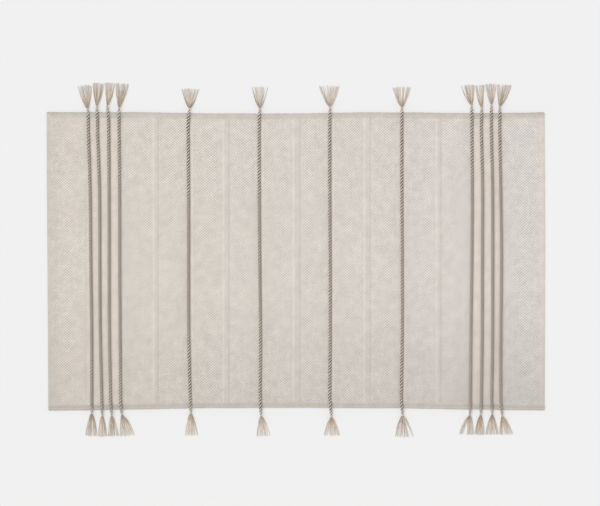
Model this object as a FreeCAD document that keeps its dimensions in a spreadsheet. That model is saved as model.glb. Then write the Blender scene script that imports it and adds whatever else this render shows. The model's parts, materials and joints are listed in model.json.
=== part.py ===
import FreeCAD, Part
import math
import os
import Sketcher
from FreeCAD import Placement, Rotation, Vector

# Bath mat: a woven cotton cloth with a turned hem at its front and rear ends, twelve twisted cords that run
# across it from hem to hem and are sewn down, and a tassel on each of the cords' free ends.
#
# Frame: +X along the mat's long side, +Y across it towards the rear hem, +Z up. The origin is the centre of
# the cloth's underside. Sizes are in millimetres.

doc = FreeCAD.newDocument("bath_mat")
sheet = doc.addObject("Spreadsheet::Sheet", "sizes")

SIZES = [
    ("mat_length", 1000, "cloth along X, selvedge to selvedge"),
    ("mat_width", 600, "cloth along Y, hem to hem"),
    ("cloth_thickness", 4, "woven ground"),
    ("hem_thickness", 6.6, "turned hem, rounded at its outer fold"),
    ("hem_width", 11, "turned hem along Y"),
    ("single_spacing", 142, "between the four cords in the middle"),
    ("group_spacing", 19.6, "between the four cords of each outer group"),
    ("group_inset", 115, "selvedge to the middle of a group"),
    ("cord_diameter", 6.6, "twisted cord"),
    ("cord_rest", 0.25, "air between a cord and what it lies on"),
    ("climb_end", 10, "outer edge to where a cord has climbed onto the hem"),
    ("climb_start", 21, "outer edge to where a cord leaves the ground"),
    ("edge_bend", 1, "outer edge to where a cord bends down again"),
    ("taper_length", 1.5, "cord's end, drawn in to its core"),
    ("core_diameter", 3.2, "cord's core inside the binding"),
    ("binding_diameter", 4.6, "thread wound round the core"),
    ("binding_length", 3, "thread winding along the core"),
    ("neck_height", 6.4, "middle of the binding's end above the floor"),
    ("neck_gap", 1.4, "core's end to the tassel's neck"),
    ("neck_thickness", 3.4, "tassel where it leaves the binding"),
    ("pivot_rise", 0.4, "tassel's pivot above the binding"),
    ("belly_distance", 14, "neck to where the tassel meets the floor"),
    ("belly_thickness", 4, "tassel where it meets the floor"),
    ("belly_share", 0.5, "part of its spread that a tassel has there"),
    ("tip_thickness", 2.6, "tassel at its cut ends"),
    ("tassel_air", 0.8, "between the spreads of two neighbouring tassels"),
    ("hem_stitch_length", 6, "thread seen on the hem"),
    ("hem_stitch_pitch", 10, "stitch to stitch"),
    ("hem_stitch_inset", 7.4, "outer edge to the row of stitches"),
    ("thread_width", 1, "sewing thread, flattened"),
    ("thread_thickness", 0.5, "sewing thread, flattened"),
    ("loop_pitch", 40, "between the loops that hold a cord down"),
    ("loop_air", 0.2, "between a loop and its cord"),
]

# The cords were laid by hand. Each row gives how far one cord strays from its line at five stations from the
# front edge to the rear edge, the free length of its front and rear ends, and the length of their tassels.
CORDS = [
    ((2.4, 1.9, -0.1, -1.1, -5.6), (8, 8), (45.5, 48)),
    ((4.2, 0.5, -1.5, -2.2, -6.9), (12.5, 13.5), (42, 47)),
    ((3.7, -1.4, -2, -2.8, -5.2), (12.5, 14.5), (41, 46)),
    ((4.2, 0.3, -0.2, -0.9, -1.2), (10.5, 10.5), (43, 49)),
    ((0.7, -3.5, -4.1, -4.4, -2), (7.5, 9), (45, 40)),
    ((-0.2, -1.8, -3.4, -4.4, -2.5), (13, 9), (41, 44)),
    ((-0.7, -2.5, -2.9, -3.7, -3.2), (15, 12), (38, 43)),
    ((0.6, -0.4, 0.3, -0.5, -0.9), (12, 11), (44, 42)),
    ((-6.4, -4, -2.4, -1, -3.1), (11.5, 16), (39, 40)),
    ((-4.2, -1.4, -1, -0.2, -2.2), (11, 11), (40, 45)),
    ((-0.8, -0.2, 1.1, 0.4, -2.4), (9.5, 17), (41, 41)),
    ((0, -3, -2.1, -3, -5.2), (13.5, 13), (37, 44)),
]
STATIONS = ("front", "front_quarter", "middle", "rear_quarter", "rear")
ENDS = {"front": -1, "rear": 1}
GROUP_SIZE = 4

# A tassel spreads freely on its open sides, by the millimetres given here for the left and the right of its
# cord. Between two cords of one group, the left tassel takes the share given here of the space and the right
# tassel takes the rest.
OPEN_SPREADS = {
    "front": {1: (13.3, None), 4: (None, 26), 5: (12, 14), 6: (9.3, 18.5), 7: (15.3, 17.5), 8: (15.1, 22.4),
              9: (21.7, None), 12: (None, 21.9)},
    "rear": {1: (20.4, None), 4: (None, 19.8), 5: (16, 19), 6: (16.5, 16.5), 7: (22.5, 19.6), 8: (18.8, 18.5),
             9: (20.6, None), 12: (None, 24.4)},
}
LEFT_SHARES = {
    "front": {1: 0.54, 2: 0.53, 3: 0.74, 9: 0.42, 10: 0.39, 11: 0.7},
    "rear": {1: 0.49, 2: 0.74, 3: 0.66, 9: 0.34, 10: 0.34, 11: 0.65},
}


def fill_sheet():
    """Writes the driving sizes and the hand-laid values of each cord and tassel, each cell with its alias."""
    rows = list(SIZES)
    for number, (strays, free_ends, tassels) in enumerate(CORDS, 1):
        for station, stray in zip(STATIONS, strays):
            rows.append((f"cord_{number}_{station}_stray", stray, f"cord {number}, off its line"))
        for end, free, tassel in zip(ENDS, free_ends, tassels):
            rows.append((f"cord_{number}_{end}_free", free, f"cord {number}, outer edge to tassel"))
            rows.append((f"tassel_{number}_{end}_length", tassel, f"cord {number}, neck to cut ends"))
    for end in ENDS:
        for number, (left, right) in OPEN_SPREADS[end].items():
            if left is not None:
                rows.append((f"tassel_{number}_{end}_left", left, f"cord {number}, open side"))
            if right is not None:
                rows.append((f"tassel_{number}_{end}_right", right, f"cord {number}, open side"))
        for number, share in LEFT_SHARES[end].items():
            rows.append((f"tassel_{number}_{end}_share", share, f"of the space from cord {number}"))
    for line, (alias, value, note) in enumerate(rows, 1):
        sheet.set(f"A{line}", alias)
        sheet.set(f"B{line}", str(value))
        sheet.set(f"C{line}", note)
        sheet.setAlias(f"B{line}", alias)
    doc.recompute()


def size(alias):
    return float(sheet.get(alias))


# ---------------------------------------------------------------- where the cords run

def line_formula(number):
    """X of a cord's line, as an expression in the sheet's cells."""
    group, place = divmod(number - 1, GROUP_SIZE)
    from_middle = place - (GROUP_SIZE - 1) / 2
    if group == 1:
        return f"{from_middle} * sizes.single_spacing"
    side = group - 1
    return (f"{side} * (sizes.mat_length / 2 - sizes.group_inset)"
            f" + {from_middle} * sizes.group_spacing")


def cord_formula(number, station):
    return f"{line_formula(number)} + sizes.cord_{number}_{station}_stray"


def cord_x(number, station):
    return float(sheet.evalExpression(cord_formula(number, station)))


def core_end(number, end):
    """The end of a cord's core, in the middle of its binding's outer face."""
    y = size("mat_width") / 2 + size(f"cord_{number}_{end}_free") - size("neck_gap")
    return Vector(cord_x(number, end), ENDS[end] * y, size("neck_height"))


def edge_point(number, end):
    """Where a cord bends down over the hem's outer fold."""
    y = size("mat_width") / 2 - size("edge_bend")
    z = size("hem_thickness") + size("cord_diameter") / 2 + size("cord_rest")
    return Vector(cord_x(number, end), ENDS[end] * y, z)


def end_direction(number, end):
    return (core_end(number, end) - edge_point(number, end)).normalize()


def body_end(number, end):
    """The end of a cord's full thickness, before it is drawn in to its core."""
    drawn_in = size("taper_length") + size("binding_length")
    return core_end(number, end) - end_direction(number, end) * drawn_in


def tassel_pivot(number, end):
    """The point that a tassel folds up about, on the top of its neck. The axis is parallel to X."""
    y = size("mat_width") / 2 + size(f"cord_{number}_{end}_free")
    z = size("neck_height") + size("binding_diameter") / 2 + size("pivot_rise")
    return Vector(cord_x(number, end), ENDS[end] * y, z)


def cord_route(number):
    """Points of a cord from front to rear: up over the front hem, along the cloth, and over the rear hem."""
    half_width = size("mat_width") / 2
    radius = size("cord_diameter") / 2
    on_cloth = size("cloth_thickness") + radius + size("cord_rest")
    on_hem = size("hem_thickness") + radius + size("cord_rest")
    ends = {}
    for end, sign in ENDS.items():
        x = cord_x(number, end)
        ends[end] = [
            body_end(number, end),
            edge_point(number, end),
            Vector(x, sign * (half_width - size("climb_end")), on_hem),
            Vector(x, sign * (half_width - size("climb_start")), on_cloth),
        ]
    middle = [
        Vector(cord_x(number, "front_quarter"), -half_width / 2, on_cloth),
        Vector(cord_x(number, "middle"), 0, on_cloth),
        Vector(cord_x(number, "rear_quarter"), half_width / 2, on_cloth),
    ]
    return ends["front"] + middle + ends["rear"][::-1]


# ---------------------------------------------------------------- shapes that repeat

ARC_SHARE = 0.45      # of the shorter run beside a corner, taken by the arc that rounds it
STRAIGHT = 1e-4       # radians; a corner that turns less than this stays a joint of two straight runs


def rounded_path(points):
    """A wire of straight runs joined by tangent arcs, and the radii of those arcs."""
    edges = []
    radii = []
    start = points[0]
    for before, corner, after in zip(points, points[1:], points[2:]):
        arriving = (corner - before).normalize()
        leaving = (after - corner).normalize()
        turn = arriving.getAngle(leaving)
        if turn < STRAIGHT:
            continue
        reach = ARC_SHARE * min((corner - before).Length, (after - corner).Length)
        arc_start = corner - arriving * reach
        arc_end = corner + leaving * reach
        radius = reach / math.tan(turn / 2)
        inward = (leaving - arriving).normalize()
        arc_middle = corner + inward * (radius / math.cos(turn / 2) - radius)
        edges.append(Part.LineSegment(start, arc_start).toShape())
        edges.append(Part.Arc(arc_start, arc_middle, arc_end).toShape())
        radii.append(radius)
        start = arc_end
    edges.append(Part.LineSegment(start, points[-1]).toShape())
    return Part.Wire(edges), radii


def path_point(path, y):
    """Where a cord's path crosses y."""
    reach = size("single_spacing")
    middle = path.CenterOfMass
    corner = Vector(middle.x - reach, y, middle.z + reach)
    across = Part.makePlane(2 * reach, 2 * reach, corner, Vector(0, 1, 0), Vector(1, 0, 0))
    return path.section(across).Vertexes[0].Point


def round_tube(path, radius):
    first = path.OrderedEdges[0]
    circle = Part.makeCircle(radius, first.valueAt(first.FirstParameter), first.tangentAt(first.FirstParameter))
    return path.makePipeShell([Part.Wire(circle)], True, False)


def add_shape(label, shape):
    feature = doc.addObject("Part::Feature", label)
    feature.Label = label
    feature.Shape = shape
    feature.Placement = Placement()
    return feature


def origin_plane(body, role):
    return next(feature for feature in body.Origin.OriginFeatures if feature.Role == role)


def add_sketch(body, name, role):
    sketch = body.newObject("Sketcher::SketchObject", name)
    sketch.AttachmentSupport = [(origin_plane(body, role), "")]
    sketch.MapMode = "FlatFace"
    return sketch


def drive(sketch, name, formula, *constraint):
    """Adds a dimension to a sketch, with its name, and binds it to the sheet."""
    index = sketch.addConstraint(Sketcher.Constraint(*constraint))
    sketch.renameConstraint(index, name)
    sketch.setExpression(f"Constraints.{name}", formula)


# ---------------------------------------------------------------- the cloth

START, END, CENTRE = 1, 2, 3      # a sketch element's points
ORIGIN_POINT = (-1, 1)
VERTICAL_AXIS = -2


def hem_points():
    """Half of the cloth's section: half width, fold radius, hem step and the hem's inner edge."""
    half = size("mat_width") / 2
    fold = size("hem_thickness") / 2
    step = size("hem_thickness") - size("cloth_thickness")
    inner = half - size("hem_width")
    return half, fold, step, inner


def make_cloth():
    """The cloth's section across the mat, with a rounded hem at both ends, pushed out along the mat."""
    body = doc.addObject("PartDesign::Body", "mat_cloth")
    sketch = add_sketch(body, "cloth_section", "YZ_Plane")
    half, fold, step, inner = hem_points()
    ground = size("cloth_thickness")
    thick = size("hem_thickness")
    right_angle = math.pi / 2

    def arc(y, z, radius, first, last):
        circle = Part.Circle(Vector(y, z, 0), Vector(0, 0, 1), radius)
        return Part.ArcOfCircle(circle, first, last)

    def line(y1, z1, y2, z2):
        return Part.LineSegment(Vector(y1, z1, 0), Vector(y2, z2, 0))

    nose = half - fold
    shoulder = inner + step
    underside = sketch.addGeometry(line(-nose, 0, nose, 0))
    rear_fold = sketch.addGeometry(arc(nose, fold, fold, -right_angle, right_angle))
    rear_hem = sketch.addGeometry(line(nose, thick, shoulder, thick))
    rear_step = sketch.addGeometry(arc(shoulder, ground, step, right_angle, 2 * right_angle))
    top = sketch.addGeometry(line(inner, ground, -inner, ground))
    front_step = sketch.addGeometry(arc(-shoulder, ground, step, 0, right_angle))
    front_hem = sketch.addGeometry(line(-shoulder, thick, -nose, thick))
    front_fold = sketch.addGeometry(arc(-nose, fold, fold, right_angle, 3 * right_angle))

    def rule(*constraint):
        sketch.addConstraint(Sketcher.Constraint(*constraint))

    rule("Tangent", underside, END, rear_fold, START)
    rule("Tangent", rear_fold, END, rear_hem, START)
    rule("Tangent", rear_hem, END, rear_step, START)
    rule("Coincident", rear_step, END, top, START)
    rule("Coincident", top, END, front_step, START)
    rule("Tangent", front_step, END, front_hem, START)
    rule("Tangent", front_hem, END, front_fold, START)
    rule("Tangent", front_fold, END, underside, START)
    rule("PointOnObject", underside, START, -1)
    rule("Symmetric", underside, START, underside, END, VERTICAL_AXIS)
    rule("Symmetric", top, START, top, END, VERTICAL_AXIS)
    rule("Horizontal", rear_step, CENTRE, top, START)
    rule("Horizontal", front_step, CENTRE, top, END)
    rule("Equal", rear_fold, front_fold)
    fold_formula = "sizes.hem_thickness / 2"
    drive(sketch, "fold", fold_formula, "Radius", rear_fold, fold)
    drive(sketch, "reach", f"sizes.mat_width / 2 - {fold_formula}",
          "DistanceX", *ORIGIN_POINT, underside, END, nose)
    drive(sketch, "ground", "sizes.cloth_thickness", "DistanceY", *ORIGIN_POINT, top, START, ground)
    drive(sketch, "inner", "sizes.mat_width / 2 - sizes.hem_width",
          "DistanceX", *ORIGIN_POINT, top, START, inner)

    pad = body.newObject("PartDesign::Pad", "cloth")
    pad.Profile = sketch
    pad.SideType = "Symmetric"
    pad.setExpression("Length", "sizes.mat_length")
    return body


def make_hem_stitches(end):
    """The sewing thread seen on a hem, one short flat stitch after another, hidden where a cord crosses."""
    length = size("hem_stitch_length")
    pitch = size("hem_stitch_pitch")
    width = size("thread_width")
    y = ENDS[end] * (size("mat_width") / 2 - size("hem_stitch_inset"))
    z = size("hem_thickness")
    hidden = (length + size("cord_diameter")) / 2
    crossings = [cord_x(number, end) for number in range(1, len(CORDS) + 1)]
    count = math.floor(size("mat_length") / pitch) - 1
    stitches = []
    for place in range(count):
        x = (place - (count - 1) / 2) * pitch
        if min(abs(x - crossing) for crossing in crossings) < hidden:
            continue
        stitch = Part.makeBox(length, width, size("thread_thickness"), Vector(x - length / 2, y - width / 2, z))
        upright = [edge for edge in stitch.Edges if abs(edge.tangentAt(0).z) > 0.5]
        stitches.append(stitch.makeFillet(width * 0.4, upright))
    return add_shape(f"hem_stitches_{end}", Part.makeCompound(stitches))


# ---------------------------------------------------------------- the cords and what holds them

def make_cord(number, path, radii):
    """One twisted cord, its ends drawn in to the core that its bindings are wound on."""
    radius = size("cord_diameter") / 2
    core = size("core_diameter") / 2
    tube = round_tube(path, radius)
    print(f"cord {number}: length {path.Length:.1f}, tightest radius {min(radii):.1f},"
          f" volume {tube.Volume / (math.pi * radius ** 2 * path.Length):.4f} of section x length")
    drawn_ends = []
    for end in ENDS:
        start = body_end(number, end)
        direction = end_direction(number, end)
        core_start = start + direction * size("taper_length")
        drawn_ends.append(Part.makeCone(radius, core, size("taper_length"), start, direction))
        drawn_ends.append(Part.makeCylinder(core, size("binding_length"), core_start, direction))
    return add_shape(f"cord_{number:02d}", tube.fuse(drawn_ends).removeSplitter())


def make_bindings(end):
    """The thread wound round each cord's core at one end of the mat, as short sleeves."""
    outer = size("binding_diameter") / 2
    core = size("core_diameter") / 2
    length = size("binding_length")
    sleeves = []
    for number in range(1, len(CORDS) + 1):
        direction = end_direction(number, end)
        start = core_end(number, end) - direction * length
        sleeve = Part.makeCylinder(outer, length, start, direction)
        sleeves.append(sleeve.cut(Part.makeCylinder(core, length, start, direction)))
    return add_shape(f"bindings_{end}", Part.makeCompound(sleeves))


def arch(radius, x, y, z, foot):
    """A solid arch of one thread's width, its round top about (x, z) and its legs down to the foot."""
    width = size("thread_width")
    round_top = Part.makeCylinder(radius, width, Vector(x, y - width / 2, z), Vector(0, 1, 0))
    legs = Part.makeBox(2 * radius, width, z - foot, Vector(x - radius, y - width / 2, foot))
    below = Part.makeBox(2 * radius, width, radius, Vector(x - radius, y - width / 2, foot - radius))
    return round_top.fuse(legs).cut(below).removeSplitter()


def make_cord_stitches(number, path):
    """The loops of thread that hold one cord to the cloth, each an arch over the cord."""
    inner = size("cord_diameter") / 2 + size("loop_air")
    outer = inner + size("thread_thickness")
    ground = size("cloth_thickness")
    middle = ground + size("cord_diameter") / 2 + size("cord_rest")
    pitch = size("loop_pitch")
    free_half = size("mat_width") / 2 - size("climb_start") - pitch / 4
    count = 2 * math.floor(free_half / pitch) + 1
    loops = []
    for place in range(count):
        y = (place - (count - 1) / 2) * pitch
        x = path_point(path, y).x
        loops.append(arch(outer, x, y, middle, ground).cut(arch(inner, x, y, middle, ground)))
    return add_shape(f"cord_stitches_{number:02d}", Part.makeCompound(loops))


# ---------------------------------------------------------------- the tassels

def spread_formula(number, end, side):
    """How far a tassel's cut ends reach to the left or right of its cord, as an expression."""
    place = (number - 1) % GROUP_SIZE
    in_group = not GROUP_SIZE < number <= 2 * GROUP_SIZE
    if side == "right" and in_group and place < GROUP_SIZE - 1:
        space = f"({cord_formula(number + 1, end)} - ({cord_formula(number, end)}))"
        return f"sizes.tassel_{number}_{end}_share * {space} - sizes.tassel_air / 2"
    if side == "left" and in_group and place > 0:
        space = f"({cord_formula(number, end)} - ({cord_formula(number - 1, end)}))"
        return f"(1 - sizes.tassel_{number - 1}_{end}_share) * {space} - sizes.tassel_air / 2"
    return f"sizes.tassel_{number}_{end}_{side}"


def add_section(body, name, distance, left, right, low, high):
    """An upright rectangle across a tassel, at a distance from its neck; each size is an expression."""
    sketch = add_sketch(body, name, "XZ_Plane")
    sketch.setExpression("AttachmentOffset.Base.z", f"-({distance})")
    x1 = -float(sheet.evalExpression(left))
    x2 = float(sheet.evalExpression(right))
    z1 = float(sheet.evalExpression(low))
    z2 = float(sheet.evalExpression(high))
    corners = [Vector(x1, z1, 0), Vector(x2, z1, 0), Vector(x2, z2, 0), Vector(x1, z2, 0)]
    for corner, following in zip(corners, corners[1:] + corners[:1]):
        sketch.addGeometry(Part.LineSegment(corner, following))
    for side in range(4):
        sketch.addConstraint(Sketcher.Constraint("Coincident", side, END, (side + 1) % 4, START))
    for side, rule in enumerate(["Horizontal", "Vertical", "Horizontal", "Vertical"]):
        sketch.addConstraint(Sketcher.Constraint(rule, side))
    drive(sketch, "left", left, "DistanceX", 0, START, *ORIGIN_POINT, -x1)
    drive(sketch, "right", right, "DistanceX", *ORIGIN_POINT, 0, END, x2)
    drive(sketch, "high", high, "DistanceY", *ORIGIN_POINT, 2, START, z2)
    if z1 == 0:
        sketch.addConstraint(Sketcher.Constraint("PointOnObject", 0, START, -1))
    else:
        drive(sketch, "low", low, "DistanceY", *ORIGIN_POINT, 0, START, z1)
    return sketch


def make_tassel(number, end):
    """A cord's loose threads: a narrow neck that falls to the floor and spreads out flat on it."""
    body = doc.addObject("PartDesign::Body", f"tassel_{end}_{number:02d}")
    sign = ENDS[end]
    left, right = ("left", "right") if end == "rear" else ("right", "left")
    left_spread = spread_formula(number, end, left)
    right_spread = spread_formula(number, end, right)
    half_neck = "sizes.neck_thickness / 2"
    neck = add_section(body, f"neck_{end}_{number:02d}", "0", half_neck, half_neck,
                       f"sizes.neck_height - {half_neck}", f"sizes.neck_height + {half_neck}")
    belly = add_section(body, f"belly_{end}_{number:02d}", "sizes.belly_distance",
                        f"sizes.belly_share * ({left_spread})", f"sizes.belly_share * ({right_spread})",
                        "0", "sizes.belly_thickness")
    tip = add_section(body, f"tip_{end}_{number:02d}", f"sizes.tassel_{number}_{end}_length",
                      left_spread, right_spread, "0", "sizes.tip_thickness")
    doc.recompute()
    threads = body.newObject("PartDesign::AdditiveLoft", f"threads_{end}_{number:02d}")
    threads.Profile = neck
    threads.Sections = [belly, tip]
    threads.Ruled = True
    body.Placement = Placement(Vector(0, 0, 0), Rotation(Vector(0, 0, 1), 0 if sign > 0 else 180))
    body.setExpression("Placement.Base.x", cord_formula(number, end))
    body.setExpression("Placement.Base.y", f"{sign} * (sizes.mat_width / 2 + sizes.cord_{number}_{end}_free)")
    return body


# ---------------------------------------------------------------- the whole mat

def make_mat():
    pieces = [make_cloth()]
    pieces += [make_hem_stitches(end) for end in ENDS]
    for number in range(1, len(CORDS) + 1):
        path, radii = rounded_path(cord_route(number))
        pieces.append(make_cord(number, path, radii))
        pieces.append(make_cord_stitches(number, path))
    pieces += [make_bindings(end) for end in ENDS]
    for end in ENDS:
        pieces += [make_tassel(number, end) for number in range(1, len(CORDS) + 1)]
    return pieces


def check(pieces):
    """Stops before anything is written if a feature failed or a piece is empty or broken."""
    for feature in doc.Objects:
        if "Invalid" in feature.State or "Error" in feature.State:
            raise RuntimeError(f"{feature.Label} failed: {feature.State}")
    for piece in pieces:
        if piece.Shape.isNull() or not piece.Shape.Solids or not piece.Shape.isValid():
            raise RuntimeError(f"{piece.Label} is not a valid solid")


fill_sheet()
pieces = make_mat()
doc.recompute()
check(pieces)
os.makedirs("parts", exist_ok=True)
for piece in pieces:
    piece.Shape.exportStep(f"parts/{piece.Label}.step")
print(f"{len(pieces)} pieces")
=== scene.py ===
import json
import math

import bpy
import numpy as np
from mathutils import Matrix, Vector


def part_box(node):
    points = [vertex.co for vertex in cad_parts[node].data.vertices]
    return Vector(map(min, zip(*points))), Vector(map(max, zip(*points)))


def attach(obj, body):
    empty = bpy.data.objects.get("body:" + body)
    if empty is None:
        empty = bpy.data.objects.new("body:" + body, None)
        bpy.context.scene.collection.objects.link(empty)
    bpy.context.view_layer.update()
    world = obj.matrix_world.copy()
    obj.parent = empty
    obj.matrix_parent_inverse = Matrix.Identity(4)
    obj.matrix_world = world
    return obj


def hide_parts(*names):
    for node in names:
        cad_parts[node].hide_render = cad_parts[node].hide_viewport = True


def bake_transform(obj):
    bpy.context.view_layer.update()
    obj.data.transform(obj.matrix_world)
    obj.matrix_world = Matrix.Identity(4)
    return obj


# Bath mat: a cream cotton cloth with slanting ribs, smooth plain stripes and two turned hems, twelve twisted
# cords laid across it and sewn down, and a tassel of loose threads on each of the cords' ends.
# Metres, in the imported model's frame: +X along the mat, +Y towards the rear hem, +Z up from the floor.

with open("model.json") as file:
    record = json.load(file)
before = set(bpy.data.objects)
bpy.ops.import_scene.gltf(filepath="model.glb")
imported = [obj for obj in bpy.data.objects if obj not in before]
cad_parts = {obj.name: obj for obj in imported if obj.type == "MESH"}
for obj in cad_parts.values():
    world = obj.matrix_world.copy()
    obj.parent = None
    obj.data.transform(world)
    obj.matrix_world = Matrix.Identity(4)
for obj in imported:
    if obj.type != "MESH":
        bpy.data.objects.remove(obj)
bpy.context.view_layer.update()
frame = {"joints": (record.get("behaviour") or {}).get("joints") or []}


# ---------------------------------------------------------------- the room
# A plain pale floor that glows a little, as paper on a light table does, so that shadows on it stay faint.
# Soft light comes from all round, with more from the rear left, and a long lens looks straight down.

VIEW_WIDTH = 1.2085           # seen across the picture, at the mat
VIEW_CENTRE = (0.0073, 0.0165)
LENS = 200                    # millimetres, on a 36 mm sensor
SENSOR = 36
FLOOR_SIZE = 160
FLOOR_DROP = 0.0002           # keeps the floor clear of the cloth's underside
FLOOR_GLOW = 0.365
ROOM_LIGHT = 0.62
WINDOW_LIGHT = 1.55
WINDOW_SPREAD = math.radians(35)
WINDOW_TILT = (math.radians(-10), math.radians(-16), 0)


def card(red, green, blue):
    """A colour as on a colour card, 0 to 255, in the linear values that a shader takes."""
    channels = [value / 255 for value in (red, green, blue)]
    return tuple(c / 12.92 if c <= 0.04045 else ((c + 0.055) / 1.055) ** 2.4 for c in channels) + (1,)


def set_socket(tree, socket, value):
    """Gives a node's socket a value, or links it to another node's output."""
    if isinstance(value, bpy.types.NodeSocket):
        tree.links.new(value, socket)
    else:
        socket.default_value = value


def add_node(tree, kind, sockets, **settings):
    """Adds a shader node, with values or other nodes' outputs for the sockets named here."""
    node = tree.nodes.new(kind)
    for name, value in settings.items():
        setattr(node, name, value)
    for name, value in sockets.items():
        set_socket(tree, node.inputs[name], value)
    return node


def mix_colours(tree, share, first, second, blend="MIX"):
    """Two colours mixed by a share from 0 to 1."""
    node = tree.nodes.new("ShaderNodeMix")
    node.data_type = "RGBA"
    node.blend_type = blend
    colours = [socket for socket in node.inputs if socket.type == "RGBA"]
    set_socket(tree, node.inputs["Factor"], share)
    set_socket(tree, colours[0], first)
    set_socket(tree, colours[1], second)
    return next(socket for socket in node.outputs if socket.type == "RGBA")


def new_material(name, **surface):
    """A material whose Principled BSDF has these constant values, with its node tree and that shader."""
    material = bpy.data.materials.new(name)
    material.use_nodes = True
    shader = material.node_tree.nodes["Principled BSDF"]
    for socket, value in surface.items():
        shader.inputs[socket.replace("_", " ")].default_value = value
    return material, material.node_tree, shader


scene = bpy.context.scene
scene.view_settings.view_transform = "Standard"

bpy.ops.object.camera_add(location=(*VIEW_CENTRE, VIEW_WIDTH * LENS / SENSOR), rotation=(0, 0, 0))
camera = bpy.context.object
camera.data.lens = LENS
camera.data.sensor_width = SENSOR
scene.camera = camera

room = bpy.data.worlds.new("room")
room.use_nodes = True
room.node_tree.nodes["Background"].inputs["Color"].default_value = (1, 1, 1, 1)
room.node_tree.nodes["Background"].inputs["Strength"].default_value = ROOM_LIGHT
scene.world = room

bpy.ops.object.light_add(type="SUN", rotation=WINDOW_TILT)
window = bpy.context.object
window.data.energy = WINDOW_LIGHT
window.data.angle = WINDOW_SPREAD

bpy.ops.mesh.primitive_plane_add(size=FLOOR_SIZE, location=(0, 0, -FLOOR_DROP))
floor = bpy.context.object
floor.name = "floor"
floor_paint, tree, shader = new_material("floor_paint", Roughness=0.9, Specular_IOR_Level=0.2,
                                         Emission_Color=(1, 1, 1, 1), Emission_Strength=FLOOR_GLOW)
coords = add_node(tree, "ShaderNodeTexCoord", {})
mottle = add_node(tree, "ShaderNodeTexNoise", {"Vector": coords.outputs["Object"], "Scale": 3, "Detail": 3})
paint = mix_colours(tree, mottle.outputs["Fac"], card(180, 180, 180), card(184, 184, 184))
set_socket(tree, shader.inputs["Base Color"], paint)
floor.data.materials.append(floor_paint)


# ---------------------------------------------------------------- the cloth
# One woven cotton cloth. Bands of twill, whose ribs climb to the right, alternate with smooth plain stripes,
# and the cords lie on plain grounds. It is loosely woven, so its edges wander and its face ripples slightly.

cloth_low, cloth_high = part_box("mat_cloth")
HALF_LENGTH = cloth_high.x
HALF_WIDTH = cloth_high.y
GROUND = 0.004                # the cloth's thickness between the hems
WARP_PITCH = 0.00149          # yarns that run across the mat
WEFT_PITCH = 0.001305         # yarns that run along the mat
RIB_YARNS = 4                 # a rib comes back every four yarns, so it climbs one weft for each warp
RIB_HEIGHT = 0.0008
RIB_FADE = 0.0015             # over which the ribs die away beside a plain stripe
CELL_LENGTH = 0.012           # longest mesh cell along a rib
TUCK = 0.0045                 # the ground cloth ends this far inside the hem's fold
RIM_INSET = 0.0008            # how far the rim is drawn in, underneath
RIM_STEPS = [(0, GROUND * 0.7), (0, GROUND * 0.3), (RIM_INSET, 0)]    # inset and height, from the top
ON_RIM = RIM_INSET + 0.0001   # a point no further in than this is on the rim
SELVEDGE_ROUND = 0.003        # width of the rounded shoulder along a selvedge
SELVEDGE_FALL = 0.0009        # how far that shoulder falls
# How far each hem is drawn in from a straight line, at places along X.
FRONT_EDGE = ([-0.5, -0.42, -0.335, -0.20, -0.05, 0.09, 0.23, 0.33, 0.43, 0.5],
              [-0.0005, -0.0003, 0.0015, 0.0040, 0.0051, 0.0046, 0.0036, 0.0018, 0.0003, -0.0003])
REAR_EDGE = ([-0.5, -0.33, -0.20, -0.05, 0.05, 0.13, 0.24, 0.33, 0.45, 0.5],
             [-0.0002, -0.0004, 0.0019, 0.0027, 0.0015, 0.0002, 0.0002, 0.0017, 0.0010, -0.0001])
# How far each selvedge stands out from a straight line, at places along Y.
LEFT_EDGE = ([-0.3, -0.15, 0, 0.15, 0.3], [-0.0006, 0.0002, 0.0012, 0.0025, 0.0028])
RIGHT_EDGE = ([-0.3, -0.15, 0, 0.15, 0.3], [-0.0003, 0.0001, 0.0007, 0.0003, -0.0006])
SELVEDGE_REACH = 0.08         # only this much of the cloth moves with a selvedge
SELVEDGES = [(-HALF_LENGTH, -0.491), (0.491, HALF_LENGTH)]
CORD_GROUNDS = [(-0.420, -0.353), (-0.218, -0.209), (-0.076, -0.067), (0.066, 0.075), (0.210, 0.219),
                (0.352, 0.413)]
SMOOTH_STRIPES = [(-0.2888, -0.2787), (-0.1478, -0.1357), (-0.0068, 0.0072), (0.1360, 0.1482),
                  (0.2812, 0.2912)]
PALE_THREADS = 0.0015         # the palest threads, along a smooth stripe's left edge
PALE_FADE = 0.004             # from that edge to where the stripe's own colour is reached
SUNK_THREADS = 0.001          # the threads pulled down along its right edge
SUNK_DEPTH = 0.0003

TWILL_LEFT = card(254, 246, 236)
TWILL_RIGHT = card(251, 247, 242)
STRIPE_CREAM = card(213, 206, 198)
GROUND_CREAM = card(231, 219, 208)
PALE_CREAM = card(233, 227, 219)
# Painted shade in the groove along each smooth stripe's right edge.
SUNK_GROOVE_SHADE = (0.86, 0.85, 0.84, 1)
# Painted shade in the twill's valleys and where its yarns dip; the hem's plain weave uses it too.
VALLEY_SHADE = (0.63, 0.62, 0.61, 1)
# Painted shade towards the front edge, where the light falls off; the same colour also darkens the left edge.
FRONT_GREY = (0.82, 0.815, 0.81, 1)
FLOAT_SHADE = (0.88, 0.87, 0.86, 1)
SLUB_SHADE = (0.93, 0.925, 0.92, 1)
CLOUD_SHADE = (0.88, 0.875, 0.87, 1)
SELVEDGE_CREAM = 0.4          # how much of the grounds' cream the right selvedge has
FRONT_SHADE_REACH = 0.25           # from the front edge to where the painted shade ends
FRONT_SHADE_LEFT = 0.5             # how deep the painted shade is at the front edge's left end
FRONT_SHADE_MORE = 0.4             # and how much deeper at its right end
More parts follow.
